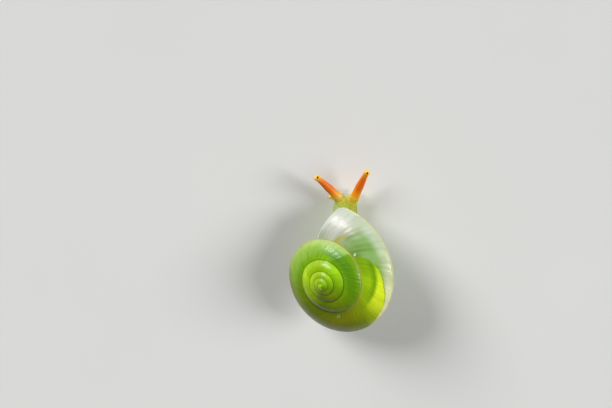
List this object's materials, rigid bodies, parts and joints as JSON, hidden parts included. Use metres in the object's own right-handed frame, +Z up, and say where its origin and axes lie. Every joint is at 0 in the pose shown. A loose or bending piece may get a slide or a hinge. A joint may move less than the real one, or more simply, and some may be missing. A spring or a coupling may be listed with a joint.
{
  "type": "land snail",
  "caption": "Life-size still model of a green keeled land snail crawling with its head and feelers stretched out, resting on its flat sole.",
  "frame": {"origin": "middle of the whole animal's box, on the floor that the sole rests on", "axes": "+Z up, +Y from tail to head, +X to the animal's right"},
  "size_m": [0.0204, 0.0346, 0.0139],
  "materials": {
    "shell": "glossy, thin and a little see-through",
    "mantle": "moist skin",
    "head_skin": "moist skin",
    "foot_skin": "moist skin",
    "tentacle_skin": "moist skin",
    "eye": "glossy black"
  },
  "bodies": {
    "root": {"shell": "shell", "mantle_collar": "mantle", "head": "head_skin", "neck": "head_skin", "foot": "foot_skin", "tail": "foot_skin", "upper_tentacle_left": "tentacle_skin", "upper_tentacle_right": "tentacle_skin", "lower_tentacle_left": "tentacle_skin", "lower_tentacle_right": "tentacle_skin", "eye_left": "eye", "eye_right": "eye"}
  },
  "joints": []
}
